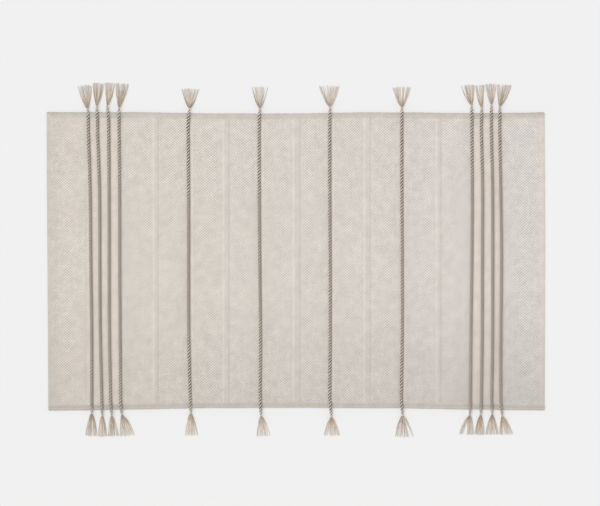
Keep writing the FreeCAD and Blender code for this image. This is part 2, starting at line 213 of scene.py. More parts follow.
# How much darker the cloth gets along its left edge.
LEFT_DARKENING = {"From Min": -HALF_LENGTH + 0.035, "From Max": -HALF_LENGTH + 0.005, "To Max": 0.45}
# Shares of the painted shade in the twill's relief.
LOW_YARN_SHADE = 0.35         # how much darker a twill's yarns are where they dip
MEAN_SHADE = 0.32             # of the ribs, between their tops and valleys
RIB_SHADE = 0.35
BEAD_SHADE = 0.13             # of the beads that the yarns make along a rib
PLAIN_COVER = 0.8             # how far a plain stripe's own cream covers the twill's
FIBRE_RELIEF = 0.35
PLAIN_RELIEF = 0.6            # against the twill's
COTTON = {"Roughness": 0.92, "Specular_IOR_Level": 0.25, "Sheen_Weight": 0.15, "Sheen_Roughness": 0.6}
PLAIN_FINENESS = 1.5          # plain weave has this many yarns for one of the twill
YARN_RELIEF = 0.0004
RIPPLE = 0.0004


def mesh_points(piece):
    """A mesh's points as rows of X, Y and Z."""
    flat = np.empty(len(piece.data.vertices) * 3)
    piece.data.vertices.foreach_get("co", flat)
    return flat.reshape(-1, 3)


def set_points(piece, points):
    piece.data.vertices.foreach_set("co", points.ravel())
    piece.data.update()


def mark_points(piece, label, values):
    """Stores a value for each of a mesh's points under a label that its material reads."""
    attribute = piece.data.attributes.new(label, "FLOAT", "POINT")
    attribute.data.foreach_set("value", values.astype(np.float32))


def eased(share):
    """A share that leaves 0 and reaches 1 gently."""
    share = np.clip(share, 0, 1)
    return share ** 2 * (3 - 2 * share)


def wander(points):
    """Moves points as the edges of the cloth wander, the most at an edge and nothing in the middle."""
    x, y = points[:, 0].copy(), points[:, 1].copy()
    drawn_in = np.where(y < 0, np.interp(x, *FRONT_EDGE), np.interp(x, *REAR_EDGE))
    points[:, 1] -= np.sign(y) * drawn_in * eased((np.abs(y) / HALF_WIDTH - 1 / 3) * 3 / 2)
    out = np.where(x < 0, np.interp(y, *LEFT_EDGE), np.interp(y, *RIGHT_EDGE))
    points[:, 0] += np.sign(x) * out * eased(1 - (HALF_LENGTH - np.abs(x)) / SELVEDGE_REACH)
    return points


def ripple(x, y):
    """The slight unevenness of a cloth lying on a floor, from -1 to 1."""
    return (np.sin(11 * x + 5 * y + 0.6) + np.sin(29 * x - 17 * y + 2.1) + np.sin(47 * y + 13 * x)) / 3


def band_share(x, bands):
    """1 within these bands of the cloth, fading to 0 just beside them."""
    share = np.zeros_like(x)
    for left, right in bands:
        outside = np.maximum(left - x, x - right)
        share = np.maximum(share, 1 - np.clip(outside / RIB_FADE, 0, 1))
    return share


def rib_share(x):
    """1 where the ribs are full, 0 in the plain stripes."""
    return 1 - band_share(x, SELVEDGES + CORD_GROUNDS + SMOOTH_STRIPES)


def ground_share(x):
    """1 in the plain grounds that the cords lie on, and some of it in the right selvedge."""
    return band_share(x, CORD_GROUNDS) + SELVEDGE_CREAM * band_share(x, SELVEDGES[1:])


def pale_share(x):
    """1 in the palest threads of a smooth stripe, 0 away from them."""
    share = np.zeros_like(x)
    for left, _ in SMOOTH_STRIPES:
        places = [left - RIB_FADE, left, left + PALE_THREADS, left + PALE_FADE]
        share += np.interp(x, places, [0, 1, 1, 0])
    return share


def sunk_share(x):
    """1 in the threads that are pulled down along a smooth stripe's right edge, 0 away from them."""
    share = np.zeros_like(x)
    for _, right in SMOOTH_STRIPES:
        places = [right + SUNK_THREADS * step for step in (-1, 0, 1, 2)]
        share += np.interp(x, places, [0, 1, 1, 0])
    return share


WEAVE_SHARES = {"ribs": rib_share, "grounds": ground_share, "pale_threads": pale_share,
                "sunk_threads": sunk_share}


def column_places():
    """Where the cloth's mesh has columns: at every change of weave, and no further apart than a cell."""
    places = {-HALF_LENGTH, -HALF_LENGTH + RIM_INSET, HALF_LENGTH - RIM_INSET, HALF_LENGTH}
    for left, right in SELVEDGES + CORD_GROUNDS + SMOOTH_STRIPES:
        places.update((left - RIB_FADE, left, right, right + RIB_FADE))
    for left, right in SMOOTH_STRIPES:
        places.update((left + PALE_THREADS, left + PALE_FADE))
        places.update(right + SUNK_THREADS * step for step in (-1, 1, 2))
    places = sorted(round(x, 5) for x in places if abs(x) <= HALF_LENGTH)
    filled = [places[0]]
    for left, right in zip(places, places[1:]):
        cells = math.ceil((right - left) / CELL_LENGTH)
        filled.extend(left + (right - left) * (step + 1) / cells for step in range(cells))
    return np.array(filled)


def make_ground_cloth():
    """A grid whose rows climb with the ribs, cut to the hems and closed with a thin edge and an underside."""
    columns = column_places()
    climb = WEFT_PITCH / WARP_PITCH
    reach = math.ceil((HALF_WIDTH + HALF_LENGTH * climb) / WEFT_PITCH)
    rows = (np.arange(-reach, reach + 1) + 0.5) * WEFT_PITCH
    bpy.ops.mesh.primitive_grid_add(x_subdivisions=len(columns) - 1, y_subdivisions=len(rows) - 1, size=2)
    cloth = bpy.context.object
    cloth.name = "woven_cloth"
    points = mesh_points(cloth)
    column = np.rint((points[:, 0] + 1) / 2 * (len(columns) - 1)).astype(int)
    row = np.rint((points[:, 1] + 1) / 2 * (len(rows) - 1)).astype(int)
    x = columns[column]
    y = rows[row] + x * climb
    rib = np.cos(2 * math.pi * (y / WEFT_PITCH - x / WARP_PITCH - 0.5) / RIB_YARNS)
    height = GROUND + rib_share(x) * rib * RIB_HEIGHT / 2 - sunk_share(x) * SUNK_DEPTH
    points = np.column_stack([x, y, height])
    set_points(cloth, points)

    edge = HALF_WIDTH - TUCK
    bpy.ops.object.mode_set(mode="EDIT")
    for side in (-1, 1):
        bpy.ops.mesh.select_all(action="SELECT")
        bpy.ops.mesh.bisect(plane_co=(0, side * edge, 0), plane_no=(0, side, 0), clear_outer=True)
    # The open rim goes down in three steps: rounded over, straight, and rounded under.
    for inset, height in RIM_STEPS:
        bpy.ops.mesh.select_mode(type="EDGE")
        bpy.ops.mesh.select_all(action="DESELECT")
        bpy.ops.mesh.select_non_manifold()
        bpy.ops.mesh.extrude_region_move()
        bpy.ops.object.mode_set(mode="OBJECT")
        chosen = np.zeros(len(cloth.data.vertices), bool)
        cloth.data.vertices.foreach_get("select", chosen)
        points = mesh_points(cloth)
        rim = points[chosen]
        at_end = np.abs(rim[:, 0]) > HALF_LENGTH - ON_RIM
        at_hem = np.abs(rim[:, 1]) > edge - ON_RIM
        rim[at_end, 0] = np.sign(rim[at_end, 0]) * (HALF_LENGTH - inset)
        rim[at_hem, 1] = np.sign(rim[at_hem, 1]) * (edge - inset)
        rim[:, 2] = height
        points[chosen] = rim
        set_points(cloth, points)
        bpy.ops.object.mode_set(mode="EDIT")
    bpy.ops.mesh.edge_face_add()
    bpy.ops.mesh.select_all(action="SELECT")
    bpy.ops.mesh.normals_make_consistent(inside=False)
    bpy.ops.object.mode_set(mode="OBJECT")
    bpy.ops.object.shade_smooth()
    return cloth


def math_node(tree, operation, *values):
    """The result of a Math node on numbers or other nodes' outputs."""
    node = tree.nodes.new("ShaderNodeMath")
    node.operation = operation
    for socket, value in zip(node.inputs, values):
        set_socket(tree, socket, value)
    return node.outputs["Value"]


def new_group(name, inputs, outputs):
    """An empty node group with sockets of these names, and what it is given and what it puts out."""
    group = bpy.data.node_groups.new(name, "ShaderNodeTree")
    for label in inputs:
        kind = "NodeSocketVector" if label == "Vector" else "NodeSocketFloat"
        group.interface.new_socket(label, in_out="INPUT", socket_type=kind)
    for label in outputs:
        group.interface.new_socket(label, in_out="OUTPUT", socket_type="NodeSocketFloat")
    return group, group.nodes.new("NodeGroupInput").outputs, group.nodes.new("NodeGroupOutput").inputs


def add_group(tree, group, sockets):
    """Places a node group in a material and returns what it puts out."""
    node = tree.nodes.new("ShaderNodeGroup")
    node.node_tree = group
    for name, value in sockets.items():
        set_socket(tree, node.inputs[name], value)
    return node.outputs


def make_weave():
    """Yarns over and under each other, half the repeat each, one step on for each yarn, with a tone each."""
    group, given, result = new_group("weave", ["Warp Count", "Weft Count", "Repeat"], ["Height", "Tone"])
    warps, wefts, repeat = given["Warp Count"], given["Weft Count"], given["Repeat"]
    over = math_node(group, "MULTIPLY", repeat, 0.5)
    warp_cell = math_node(group, "FLOOR", warps)
    weft_cell = math_node(group, "FLOOR", wefts)
    past_warp = math_node(group, "SUBTRACT", wefts, warp_cell)
    along_warp = math_node(group, "FLOORED_MODULO", past_warp, repeat)
    past_weft = math_node(group, "SUBTRACT", math_node(group, "SUBTRACT", warps, weft_cell), 1)
    along_weft = math_node(group, "FLOORED_MODULO", past_weft, repeat)

    def yarn_top(across, along):
        """A yarn's height: round from side to side, and dipping where it goes under."""
        turn = math_node(group, "MULTIPLY", math_node(group, "FRACT", across), math.pi)
        side = math_node(group, "SINE", turn)
        share = math_node(group, "DIVIDE", along, over)
        arch = math_node(group, "SINE", math_node(group, "MULTIPLY", share, math.pi))
        return math_node(group, "MULTIPLY", side, math_node(group, "MULTIPLY_ADD", arch, 0.5, 0.5))

    warp_up = math_node(group, "LESS_THAN", along_warp, over)
    weft_up = math_node(group, "SUBTRACT", 1, warp_up)
    warp_height = math_node(group, "MULTIPLY", warp_up, yarn_top(warps, along_warp))
    weft_height = math_node(group, "MULTIPLY", weft_up, yarn_top(wefts, along_weft))
    group.links.new(math_node(group, "ADD", warp_height, weft_height), result["Height"])

    def chosen(if_warp, if_weft):
        """The first value where a warp is on top, the second where a weft is."""
        kept = math_node(group, "MULTIPLY", warp_up, if_warp)
        return math_node(group, "MULTIPLY_ADD", weft_up, if_weft, kept)

    warp_float = math_node(group, "FLOOR", math_node(group, "DIVIDE", past_warp, repeat))
    weft_float = math_node(group, "FLOOR", math_node(group, "DIVIDE", past_weft, repeat))
    float_number = add_node(group, "ShaderNodeCombineXYZ", {
        "X": chosen(warp_cell, weft_float), "Y": chosen(warp_float, weft_cell), "Z": warp_up,
    })
    tone = add_node(group, "ShaderNodeTexWhiteNoise", {"Vector": float_number.outputs["Vector"]})
    group.links.new(tone.outputs["Value"], result["Tone"])
    return group


def make_melange():
    """Unevenly spun cotton: cloudy patches, long slubs along the warp, and single fibres."""
    group, given, result = new_group("melange", ["Vector"], ["Clouds", "Slubs", "Fibres"])
    place = given["Vector"]
    clouds = add_node(group, "ShaderNodeTexNoise", {
        "Vector": place, "Scale": 60, "Detail": 4, "Roughness": 0.7,
    })
    patches = add_node(group, "ShaderNodeMapRange", {
        "Value": clouds.outputs["Fac"], "From Min": 0.33, "From Max": 0.67,
    })
    stretched = add_node(group, "ShaderNodeMapping", {"Vector": place, "Scale": (420, 16, 60)})
    slubs = add_node(group, "ShaderNodeTexNoise", {
        "Vector": stretched.outputs["Vector"], "Scale": 1, "Detail": 2,
    })
    fibres = add_node(group, "ShaderNodeTexNoise", {"Vector": place, "Scale": 900, "Detail": 2})
    group.links.new(patches.outputs["Result"], result["Clouds"])
    group.links.new(slubs.outputs["Fac"], result["Slubs"])
    group.links.new(fibres.outputs["Fac"], result["Fibres"])
    return group


weave = make_weave()
melange = make_melange()


def marked(tree, label):
    """The value that a mesh's points carry under this label."""
    return add_node(tree, "ShaderNodeAttribute", {}, attribute_name=label).outputs["Fac"]


def emboss(tree, shader, height, strength, depth):
    """Gives a surface the fine relief of this height."""
    bump = add_node(tree, "ShaderNodeBump", {"Height": height, "Strength": strength, "Distance": depth})
    set_socket(tree, shader.inputs["Normal"], bump.outputs["Normal"])


def counted(tree, place, pitch, finer=1):
    """How many yarns of this pitch lie between the mat's middle and a place."""
    return math_node(tree, "MULTIPLY", place, finer / pitch)


def make_cotton_cloth():
    """Twill and plain cotton, warmer at the left, with painted shade in its relief and towards the front, and
    darker along the left edge.
    """
    material, tree, shader = new_material("woven_cotton", **COTTON)
    coords = add_node(tree, "ShaderNodeTexCoord", {}).outputs["Object"]
    place = add_node(tree, "ShaderNodeSeparateXYZ", {"Vector": coords}).outputs
    ribs = marked(tree, "ribs")
    grounds = marked(tree, "grounds")
    pale = marked(tree, "pale_threads")
    sunk = marked(tree, "sunk_threads")
    warps = counted(tree, place["X"], WARP_PITCH)
    wefts = counted(tree, place["Y"], WEFT_PITCH)
    fine_warps = counted(tree, place["X"], WARP_PITCH, PLAIN_FINENESS)
    fine_wefts = counted(tree, place["Y"], WEFT_PITCH, PLAIN_FINENESS)
    twill = add_group(tree, weave, {"Warp Count": warps, "Weft Count": wefts, "Repeat": RIB_YARNS})
    plain = add_group(tree, weave, {"Warp Count": fine_warps, "Weft Count": fine_wefts, "Repeat": 2})
    cotton = add_group(tree, melange, {"Vector": coords})

    across = math_node(tree, "MULTIPLY_ADD", place["X"], 0.5 / HALF_LENGTH, 0.5)
    colour = mix_colours(tree, across, TWILL_LEFT, TWILL_RIGHT)
    # Painted shade in the twill's relief: darker in the ribs' valleys, between the beads along them and where
    # yarns dip.
    slant = math_node(tree, "SUBTRACT", math_node(tree, "SUBTRACT", wefts, warps), 0.5)
    rib_wave = math_node(tree, "COSINE", math_node(tree, "MULTIPLY", slant, 2 * math.pi / RIB_YARNS))
    valley = math_node(tree, "MULTIPLY_ADD", rib_wave, -RIB_SHADE, MEAN_SHADE)
    across_ribs = math_node(tree, "ADD", wefts, warps)
    bead = math_node(tree, "COSINE", math_node(tree, "MULTIPLY", across_ribs, 2 * math.pi / RIB_YARNS))
    valley = math_node(tree, "MULTIPLY_ADD", bead, BEAD_SHADE, valley)
    low_yarn = math_node(tree, "SUBTRACT", 1, twill["Height"])
    valley = math_node(tree, "MULTIPLY_ADD", low_yarn, LOW_YARN_SHADE, valley)
    shade = math_node(tree, "MULTIPLY", valley, ribs)
    colour = mix_colours(tree, shade, colour, VALLEY_SHADE, "MULTIPLY")
    smooth = math_node(tree, "SUBTRACT", 1, ribs)
    plain_cream = mix_colours(tree, grounds, STRIPE_CREAM, GROUND_CREAM)
    colour = mix_colours(tree, math_node(tree, "MULTIPLY", smooth, PLAIN_COVER), colour, plain_cream)
    colour = mix_colours(tree, math_node(tree, "MULTIPLY", pale, PLAIN_COVER), colour, PALE_CREAM)
    # Painted shade in the groove of the sunk threads.
    colour = mix_colours(tree, sunk, colour, SUNK_GROOVE_SHADE, "MULTIPLY")
    float_tone = math_node(tree, "MULTIPLY", twill["Tone"], ribs)
    colour = mix_colours(tree, float_tone, colour, FLOAT_SHADE, "MULTIPLY")
    colour = mix_colours(tree, cotton["Slubs"], colour, SLUB_SHADE, "MULTIPLY")
    colour = mix_colours(tree, cotton["Clouds"], colour, CLOUD_SHADE, "MULTIPLY")
    # Painted shade towards the front edge, deeper at the right, and darker along the left edge.
    front = add_node(tree, "ShaderNodeMapRange", {
        "Value": place["Y"], "From Min": -HALF_WIDTH + FRONT_SHADE_REACH, "From Max": -HALF_WIDTH,
    }).outputs["Result"]
    across_squared = math_node(tree, "MULTIPLY", across, across)
    more_at_right = math_node(tree, "MULTIPLY_ADD", across_squared, FRONT_SHADE_MORE, FRONT_SHADE_LEFT)
    darkened = math_node(tree, "MULTIPLY", front, more_at_right)
    left = add_node(tree, "ShaderNodeMapRange", {"Value": place["X"], **LEFT_DARKENING},
                    interpolation_type="SMOOTHSTEP").outputs["Result"]
    darkened = math_node(tree, "ADD", darkened, left)
    colour = mix_colours(tree, darkened, colour, FRONT_GREY, "MULTIPLY")
    set_socket(tree, shader.inputs["Base Color"], colour)

    rib_height = math_node(tree, "MULTIPLY", twill["Height"], ribs)
    plain_height = math_node(tree, "MULTIPLY", plain["Height"], smooth)
    height = math_node(tree, "MULTIPLY_ADD", plain_height, PLAIN_RELIEF, rib_height)
    height = math_node(tree, "MULTIPLY_ADD", cotton["Fibres"], FIBRE_RELIEF, height)
    emboss(tree, shader, height, 0.8, YARN_RELIEF)
    return material


cloth = make_ground_cloth()
points = mesh_points(cloth)
on_top = points[:, 2] > GROUND * 0.8
points[on_top, 2] += RIPPLE * ripple(points[on_top, 0], points[on_top, 1])
over_edge = np.clip((np.abs(points[:, 0]) - HALF_LENGTH + SELVEDGE_ROUND) / SELVEDGE_ROUND, 0, 1)
points[on_top, 2] -= SELVEDGE_FALL * over_edge[on_top] ** 2
for label, share in WEAVE_SHARES.items():
    mark_points(cloth, label, share(points[:, 0]))
set_points(cloth, wander(points))
cloth.data.materials.append(make_cotton_cloth())
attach(cloth, "mat")
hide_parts("mat_cloth")


# ---------------------------------------------------------------- the hems
# Both long edges of the cloth are turned over and sewn down, which makes a flat roll, rounded at its outer
# fold. Its face is plain weave, pulled in a little between the stitches, and carries painted shade near the
# fold, along the front hem's stitches, and a little more towards the ends.

ENDS = {"front": -1, "rear": 1}
FOLD = cloth_high.z / 2       # the fold's radius: the hem is twice as thick
HEM_WIDTH = 0.011
HEM_CELL = 0.0025             # mesh cell along the hem
CORNER = 0.0024               # how much of each end is rounded
CORNER_COLUMNS = [0, 0.1, 0.3, 0.6, 1.0]
CORNER_DRAW = 0.0018          # how far a corner is drawn in
CORNER_THIN = 0.25            # how much thinner it is
DIVE_DEPTH = 0.0007           # how deep the thread pulls the hem's face down
DIVE_WIDTH = 0.0022
FOLD_PULL = 0.0003            # how far it pulls the fold in
FOLD_WAVER = 0.0004
STITCH_PITCH = 0.010
STITCH_INSET = 0.0074         # outer edge to the row of stitches
HEM_CREAM = card(231, 223, 214)
# The colour of the painted shade on the hems.
HEM_PAINTED_SHADE = (0.72, 0.715, 0.71, 1)
# How much painted shade each hem has at places in from its fold: the front one most along its stitches.
HEM_SHADE_PLACES = [0.0015, 0.0035, 0.0055, 0.0075, 0.0095, 0.0115]
HEM_SHADE_SHARES = {"front": [0.67, 0.63, 0.92, 0.95, 0.68, 0.3], "rear": [0.8, 0.6, 0.55, 0.25, 0, 0]}
HEM_EDGES = {"front": FRONT_EDGE, "rear": REAR_EDGE}


def hem_profile():
    """The hem's section as insets and heights, from under its inner edge round the fold to its top."""
    turns = np.radians([-90, -50, -10, 30, 60, 90])
    fold = [(FOLD - FOLD * math.cos(turn), FOLD + FOLD * math.sin(turn)) for turn in turns]
    top = 2 * FOLD
    return np.array([(HEM_WIDTH - 0.0005, 0)] + fold + [
        (STITCH_INSET - 0.0020, top), (STITCH_INSET, top), (STITCH_INSET + 0.0012, top - 0.0005),
        (STITCH_INSET + 0.0026, top - 0.0014), (HEM_WIDTH + 0.0006, GROUND),
        (HEM_WIDTH + 0.001, GROUND - 0.0008),
    ])


def make_hem(end):
    """A grid along the edge, wrapped round the hem's section, closed along its seam and at its ends."""
    profile = hem_profile()
    plain = np.arange(-HALF_LENGTH + 2 * CORNER, HALF_LENGTH - 2 * CORNER, HEM_CELL)
    corners = [side * (HALF_LENGTH - CORNER * share) for side in (-1, 1) for share in CORNER_COLUMNS]
    columns = np.sort(np.concatenate([plain, corners]))
    cells = len(columns) - 1
    bpy.ops.mesh.primitive_grid_add(x_subdivisions=cells, y_subdivisions=len(profile), size=2)
    hem = bpy.context.object
    hem.name = f"{end}_hem"
    points = mesh_points(hem)
    turn = np.rint((points[:, 1] + 1) / 2 * len(profile)).astype(int) % len(profile)
    x = columns[np.rint((points[:, 0] + 1) / 2 * cells).astype(int)]
    inset, height = profile[turn, 0], profile[turn, 1]
    # The thread pulls the hem in where it dives between two stitches, and the corners are rounded.
    dive = np.cos(math.pi * x / STITCH_PITCH) ** 8
    beside_row = np.exp(-((inset - STITCH_INSET) / DIVE_WIDTH) ** 2)
    above = height > FOLD
    height = height - above * DIVE_DEPTH * dive * beside_row
    inset = inset + (inset < FOLD) * (FOLD_PULL * dive + FOLD_WAVER * ripple(3 * x, 7 * x))
    corner = np.clip((np.abs(x) - HALF_LENGTH + CORNER) / CORNER, 0, 1)
    inset = inset + (1 - np.sqrt(1 - corner ** 2)) * CORNER_DRAW * (inset < FOLD)
    height = FOLD + (height - FOLD) * (1 - CORNER_THIN * corner ** 2)
    y = ENDS[end] * (HALF_WIDTH - inset)
    set_points(hem, wander(np.column_stack([x, y, height])))
    bpy.ops.object.mode_set(mode="EDIT")
    bpy.ops.mesh.select_all(action="SELECT")
    bpy.ops.mesh.remove_doubles(threshold=0.00001)
    bpy.ops.mesh.select_all(action="DESELECT")
    bpy.ops.mesh.select_mode(type="EDGE")
    bpy.ops.mesh.select_non_manifold()
    bpy.ops.mesh.edge_face_add()
    bpy.ops.mesh.select_all(action="SELECT")
    bpy.ops.mesh.normals_make_consistent(inside=False)
    bpy.ops.object.mode_set(mode="OBJECT")
    bpy.ops.object.shade_smooth()
    return hem


def make_hem_cotton():
    """Plain weave, with painted shade near the fold, along the front hem's stitches, and where its yarns dip.
    """
    material, tree, shader = new_material("hem_cotton", **COTTON)
    coords = add_node(tree, "ShaderNodeTexCoord", {}).outputs["Object"]
    place = add_node(tree, "ShaderNodeSeparateXYZ", {"Vector": coords}).outputs
    warps = counted(tree, place["X"], WARP_PITCH, PLAIN_FINENESS)
    wefts = counted(tree, place["Y"], WEFT_PITCH, PLAIN_FINENESS)
    plain = add_group(tree, weave, {"Warp Count": warps, "Weft Count": wefts, "Repeat": 2})
    cotton = add_group(tree, melange, {"Vector": coords})
    colour = mix_colours(tree, cotton["Clouds"], HEM_CREAM, CLOUD_SHADE, "MULTIPLY")
    slubs = math_node(tree, "MULTIPLY", cotton["Slubs"], 0.5)
    colour = mix_colours(tree, slubs, colour, SLUB_SHADE, "MULTIPLY")
    # Painted shade near the fold and along the stitches, as marked on the hem's points.
    darkened = marked(tree, "darkened")
    colour = mix_colours(tree, darkened, colour, HEM_PAINTED_SHADE, "MULTIPLY")
    # Painted shade where the plain weave's yarns dip.
    low_yarn = math_node(tree, "MULTIPLY_ADD", plain["Height"], -0.25, 0.25)
    colour = mix_colours(tree, low_yarn, colour, VALLEY_SHADE, "MULTIPLY")
    set_socket(tree, shader.inputs["Base Color"], colour)
    height = math_node(tree, "MULTIPLY_ADD", cotton["Fibres"], FIBRE_RELIEF, plain["Height"])
    emboss(tree, shader, height, 0.6, YARN_RELIEF)
    return material


def mark_painted_shade(hem, end):
    """Stores how much painted shade each point of a hem has, 0 to 1, a little more towards its ends."""
    x, y, _ = mesh_points(hem).T
    inset = HALF_WIDTH - np.abs(y) - np.interp(x, *HEM_EDGES[end])
    darkened = np.interp(inset, HEM_SHADE_PLACES, HEM_SHADE_SHARES[end]) * (0.9 + 0.3 * (x / HALF_LENGTH) ** 2)
    mark_points(hem, "darkened", np.minimum(darkened, 1))


hem_cotton = make_hem_cotton()
hems = {end: make_hem(end) for end in ENDS}
for end, hem in hems.items():
    mark_painted_shade(hem, end)
    hem.data.materials.append(hem_cotton)
    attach(hem, "mat")


# ---------------------------------------------------------------- the hems' stitches
# Cream sewing thread in long running stitches, two yarns twisted together. Each shows as a short arch whose
# two ends dive into the hem.

STITCH_LENGTH = 0.006
ARCH = np.linspace(-1, 1, 7)  # along a stitch, from end to end
THREAD = 0.0009               # sewing thread, across
# Stitching thread: painted shade between its plies, and its cream on them.
THREAD_PLY_SHADE = card(196, 188, 178)
THREAD_CREAM = card(226, 219, 209)
WORN_MOST = 0.012             # a worn yarn is palest within this share of its length from each end
WORN_LESS = 0.028             # and has its own colour from here on
CORD_NUMBERS = range(1, 13)   # from the left
CORD = 0.0066                 # a cord's width


def neck(number, end):
    """Where a cord's tassel begins and folds, at the outer face of its binding."""
    joint = next(joint for joint in frame["joints"] if joint["name"] == f"tassel_{end}_{number:02d}_fold")
    return Vector(joint["pos_m"])


def stitch_places(end):
    """X of each stitch that shows on a hem: none shows under a cord."""
    count = math.floor(2 * HALF_LENGTH / STITCH_PITCH) - 1
    places = (np.arange(count) - (count - 1) / 2) * STITCH_PITCH
    crossings = np.array([neck(number, end).x for number in CORD_NUMBERS])
    clear = np.abs(places[:, None] - crossings).min(axis=1) > (STITCH_LENGTH + CORD) / 2
    return places[clear]


def make_plied():
    """A twisted yarn's slanting plies and loose fibres, on a tube's UV map: X along it, Y round it."""
    group, given, result = new_group("plied", ["Vector", "Plies", "Turns"], ["Height", "Fibres"])
    place = add_node(group, "ShaderNodeSeparateXYZ", {"Vector": given["Vector"]}).outputs
    around = math_node(group, "MULTIPLY", place["Y"], given["Plies"])
    slant = math_node(group, "MULTIPLY_ADD", place["X"], given["Turns"], around)
    wave = math_node(group, "SINE", math_node(group, "MULTIPLY", slant, math.pi))
    ridge = math_node(group, "ABSOLUTE", wave)
    stretched = add_node(group, "ShaderNodeCombineXYZ", {
        "X": math_node(group, "MULTIPLY", slant, 6),
        "Y": math_node(group, "MULTIPLY", place["X"], given["Turns"]),
    })
    fibres = add_node(group, "ShaderNodeTexNoise", {
        "Vector": stretched.outputs["Vector"], "Scale": 1, "Detail": 3,
    })
    group.links.new(ridge, result["Height"])
    group.links.new(fibres.outputs["Fac"], result["Fibres"])
    return group


plied = make_plied()


def make_yarn(name, ply_shade, light, plies, turns, relief, ends=None):
    """A twisted yarn, with painted shade deep between its plies and lighter on them, that fades to the colour
    of its worn ends.
    """
    material, tree, shader = new_material(name, Roughness=0.9, Specular_IOR_Level=0.25,
                                          Sheen_Weight=0.2, Sheen_Roughness=0.5)
    coords = add_node(tree, "ShaderNodeTexCoord", {}).outputs
    yarn = add_group(tree, plied, {"Vector": coords["UV"], "Plies": plies, "Turns": turns})
    cotton = add_group(tree, melange, {"Vector": coords["Object"]})
    # Painted shade: darker between the plies, lighter on them.
    tone = math_node(tree, "MULTIPLY", yarn["Height"], 0.5)
    tone = math_node(tree, "MULTIPLY_ADD", yarn["Fibres"], 0.8, tone)
    tone = math_node(tree, "MULTIPLY_ADD", cotton["Fibres"], 0.4, math_node(tree, "SUBTRACT", tone, 0.35))
    colour = mix_colours(tree, tone, ply_shade, light)
    clouds = math_node(tree, "MULTIPLY", cotton["Clouds"], 0.8)
    colour = mix_colours(tree, clouds, colour, CLOUD_SHADE, "MULTIPLY")
    if ends:
        along = add_node(tree, "ShaderNodeSeparateXYZ", {"Vector": coords["UV"]}).outputs["X"]
        from_end = math_node(tree, "PINGPONG", along, 0.5)
        worn = add_node(tree, "ShaderNodeMapRange", {
            "Value": from_end, "From Min": WORN_LESS, "From Max": WORN_MOST,
        }, interpolation_type="SMOOTHSTEP").outputs["Result"]
        colour = mix_colours(tree, math_node(tree, "MULTIPLY", worn, 0.6), colour, ends)
    set_socket(tree, shader.inputs["Base Color"], colour)
    height = math_node(tree, "MULTIPLY_ADD", yarn["Fibres"], 0.6, yarn["Height"])
    emboss(tree, shader, height, 1, relief)
    return material


def choose(*pieces):
    """Selects only these pieces and makes the first of them active."""
    bpy.ops.object.select_all(action="DESELECT")
    for piece in pieces:
        piece.select_set(True)
    bpy.context.view_layer.objects.active = pieces[0]


def tube_piece(name, tubes, materials, sides=6):
    """One mesh of round tubes, each given by its points, their radii and its material's number."""
    curve = bpy.data.curves.new(name, "CURVE")
    curve.dimensions = "3D"
    curve.bevel_depth = 1
    curve.bevel_resolution = sides // 2 - 2
    curve.use_fill_caps = True
    for material in materials:
        curve.materials.append(material)
    for points, radii, number in tubes:
        spline = curve.splines.new("POLY")
        spline.points.add(len(points) - 1)
        spline.points.foreach_set("co", np.column_stack([points, np.ones(len(points))]).ravel())
        spline.points.foreach_set("radius", np.broadcast_to(radii, len(points)).astype(float))
        spline.material_index = number
    piece = bpy.data.objects.new(name, curve)
    scene.collection.objects.link(piece)
    choose(piece)
    bpy.ops.object.convert(target="MESH")
    bpy.ops.object.mode_set(mode="EDIT")
    bpy.ops.mesh.select_all(action="SELECT")
    bpy.ops.mesh.remove_doubles(threshold=0.000002)
    bpy.ops.object.mode_set(mode="OBJECT")
    bpy.ops.object.shade_smooth_by_angle(angle=math.radians(75))
    return bpy.context.object


thread_cream = make_yarn("stitching_cotton", THREAD_PLY_SHADE, THREAD_CREAM, plies=2, turns=5, relief=0.0001)
for end, side in ENDS.items():
    stitches = []
    for x in stitch_places(end):
        line = np.column_stack([
            x + ARCH * STITCH_LENGTH / 2,
            np.full_like(ARCH, side * (HALF_WIDTH - STITCH_INSET)),
            2 * FOLD + THREAD * (0.25 - 1.1 * ARCH ** 4),
        ])
        stitches.append((wander(line), THREAD / 2, 0))
    stitching = tube_piece(f"{end}_hem_stitching", stitches, [thread_cream])
    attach(stitching, "mat")
    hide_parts(f"hem_stitches_{end}")


# ---------------------------------------------------------------- the cords
# Twelve cotton cords, each of two taupe and two beige strands twisted together. They lie across the cloth and
# over both hems, and beyond the hems they are drawn in to the core that their bindings are wound on.

STRANDS = 4
LAY = 0.0125                  # a strand's one full turn
STRAND_RADIUS = 0.00143
TWIST_RADIUS = 0.00168        # from the cord's middle to a strand's
STEP = 0.00125                # between the points of a strand
CORE_END = 0.0014             # from the core's end out to the tassel's neck
CORE_HEIGHT = 0.0064
DRAWN_IN = 0.0045             # length of a cord's end that is thinner than the rest
CORE_SHARE = 0.5              # how much thinner
ON_GROUND = 0.00755           # height of a cord's middle on the cloth
ON_HEM = 0.01015              # height of a cord's middle on a hem
COURSE_MARKS = (-0.27, -0.15, 0, 0.15, 0.26)    # places across the mat, from the front
# X of each cord at those places.
CORD_COURSES = [
    (-0.412, -0.412, -0.414, -0.415, -0.419), (-0.392, -0.395, -0.396, -0.396, -0.4005),
    (-0.374, -0.377, -0.377, -0.377, -0.378), (-0.354, -0.355, -0.356, -0.356, -0.357),
    (-0.214, -0.217, -0.217, -0.217, -0.218), (-0.073, -0.072, -0.074, -0.075, -0.075),
    (0.067, 0.068, 0.068, 0.067, 0.067), (0.211, 0.213, 0.213, 0.212, 0.212),
    (0.350, 0.351, 0.353, 0.354, 0.353), (0.372, 0.374, 0.374, 0.375, 0.372),
    (0.393, 0.395, 0.395, 0.395, 0.392), (0.411, 0.411, 0.413, 0.411, 0.409),
]


